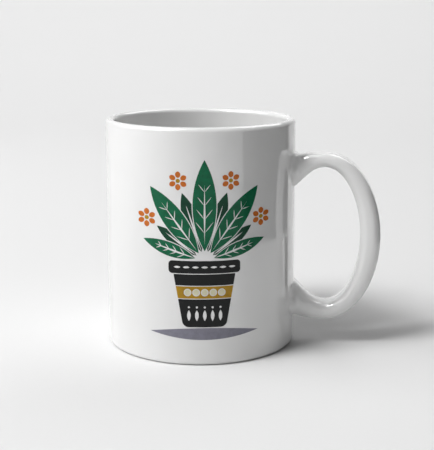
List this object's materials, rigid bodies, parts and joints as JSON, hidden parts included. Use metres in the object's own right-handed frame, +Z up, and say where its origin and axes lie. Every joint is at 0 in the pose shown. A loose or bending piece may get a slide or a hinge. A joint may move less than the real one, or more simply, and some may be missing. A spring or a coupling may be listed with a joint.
{
  "type": "ceramic mug",
  "caption": "Straight-sided glazed ceramic mug with a loop handle, a bare foot ring and a printed pot plant.",
  "frame": {"origin": "on the table surface, under the axis of the round body", "axes": "+Z up along the body's axis, +X from the axis through the middle of the handle, -Y towards the printed side"},
  "size_m": [0.1189, 0.0821, 0.0975],
  "materials": {
    "white_glaze": "glossy clear-white glaze",
    "bare_clay": "unglazed, matt and slightly rough",
    "lavender_ink": "flat ink under gloss",
    "charcoal_ink": "flat ink under gloss",
    "gold_ink": "flat ink under gloss",
    "cream_ink": "flat ink under gloss",
    "green_ink": "flat ink under gloss",
    "deep_green_ink": "flat ink under gloss",
    "orange_ink": "flat ink under gloss"
  },
  "bodies": {
    "root": {"mug_body": "white_glaze", "mug_handle": "white_glaze", "foot_ring": "bare_clay", "print_shadow": "lavender_ink", "print_pot": "charcoal_ink", "print_band": "gold_ink", "print_beads": "cream_ink", "print_front_leaves": "green_ink", "print_back_leaves": "deep_green_ink", "print_petals": "orange_ink", "print_flower_eyes": "gold_ink"}
  },
  "joints": []
}
